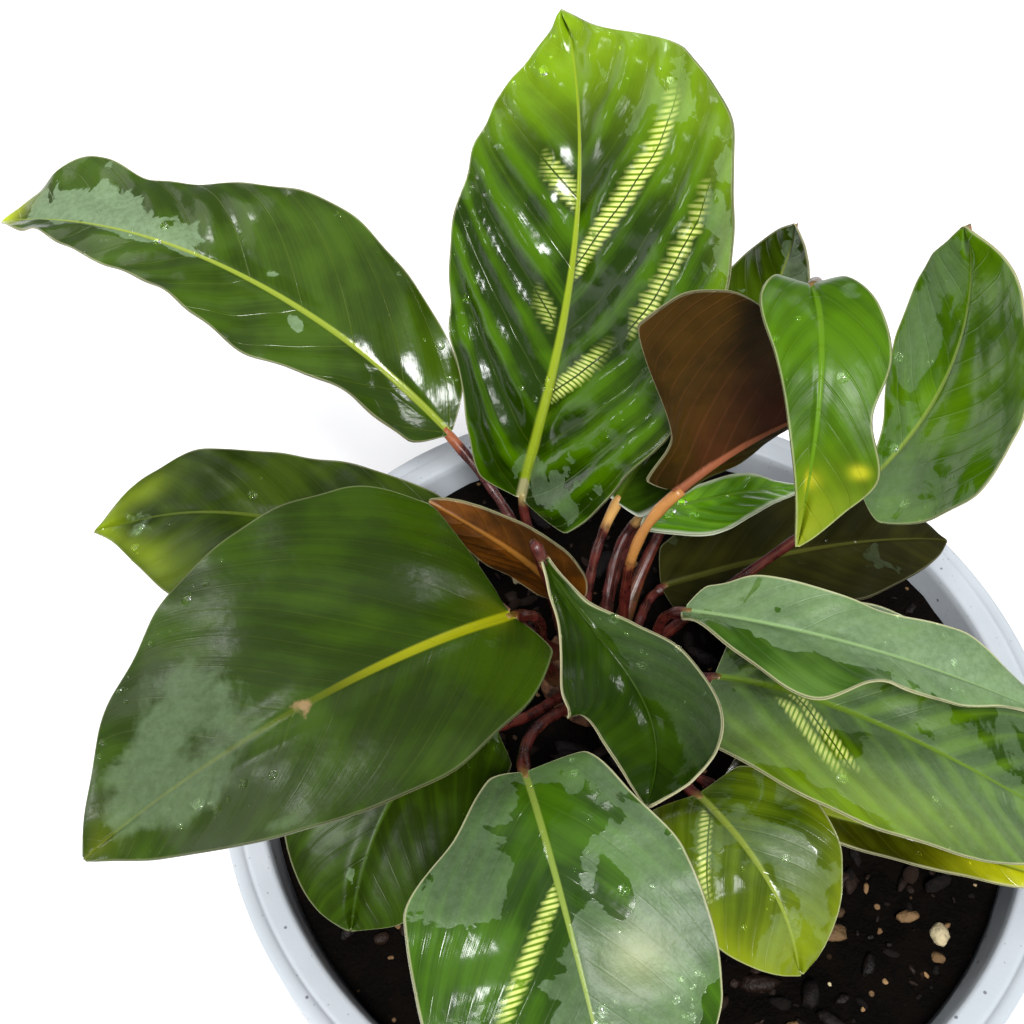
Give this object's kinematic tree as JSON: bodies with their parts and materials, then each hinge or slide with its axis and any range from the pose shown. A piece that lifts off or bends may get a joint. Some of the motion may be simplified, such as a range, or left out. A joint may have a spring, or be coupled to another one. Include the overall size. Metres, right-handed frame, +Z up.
{
  "type": "potted peacock plant",
  "caption": "Young patterned-foliage plant with broad arching leaves on slender stalks, growing from one crown in a plain tapered nursery pot of soil.",
  "frame": {"origin": "centre of the pot's flat underside, on the table", "axes": "+Z up along the pot's axis; -Y towards the viewer of the picture; +X to the viewer's right"},
  "size_m": [0.2053, 0.1855, 0.2097],
  "materials": {
    "pot": "satin, finely speckled",
    "soil": "moist bark and peat mix",
    "rootstock": "rough",
    "leaf": "glossy where wet, satin where dry",
    "stalk": "satin"
  },
  "bodies": {
    "root": {"pot": "pot", "soil": "soil", "crown": "rootstock", "cut_stub": "rootstock", "blade_upper_left": "leaf", "stalk_upper_left": "stalk", "blade_top": "leaf", "stalk_top": "stalk", "blade_middle_left": "leaf", "stalk_middle_left": "stalk", "blade_front_left": "leaf", "stalk_front_left": "stalk", "blade_low_left": "leaf", "stalk_low_left": "stalk", "blade_front": "leaf", "stalk_front": "stalk", "blade_folded": "leaf", "stalk_folded": "stalk", "blade_right_wavy": "leaf", "stalk_right_wavy": "stalk", "blade_right_broad": "leaf", "stalk_right_broad": "stalk", "blade_front_right_yellow": "leaf", "stalk_front_right_yellow": "stalk", "blade_low_right": "leaf", "stalk_low_right": "stalk", "blade_upright_purple": "leaf", "stalk_upright_purple": "stalk", "blade_drooping": "leaf", "stalk_drooping": "stalk", "blade_far_right": "leaf", "stalk_far_right": "stalk", "blade_inner_brown": "leaf", "stalk_inner_brown": "stalk", "blade_inner_narrow": "leaf", "stalk_inner_narrow": "stalk", "blade_inner_bright": "leaf", "stalk_inner_bright": "stalk", "blade_back": "leaf", "stalk_back": "stalk", "blade_low_back": "leaf", "stalk_low_back": "stalk"}
  },
  "joints": []
}
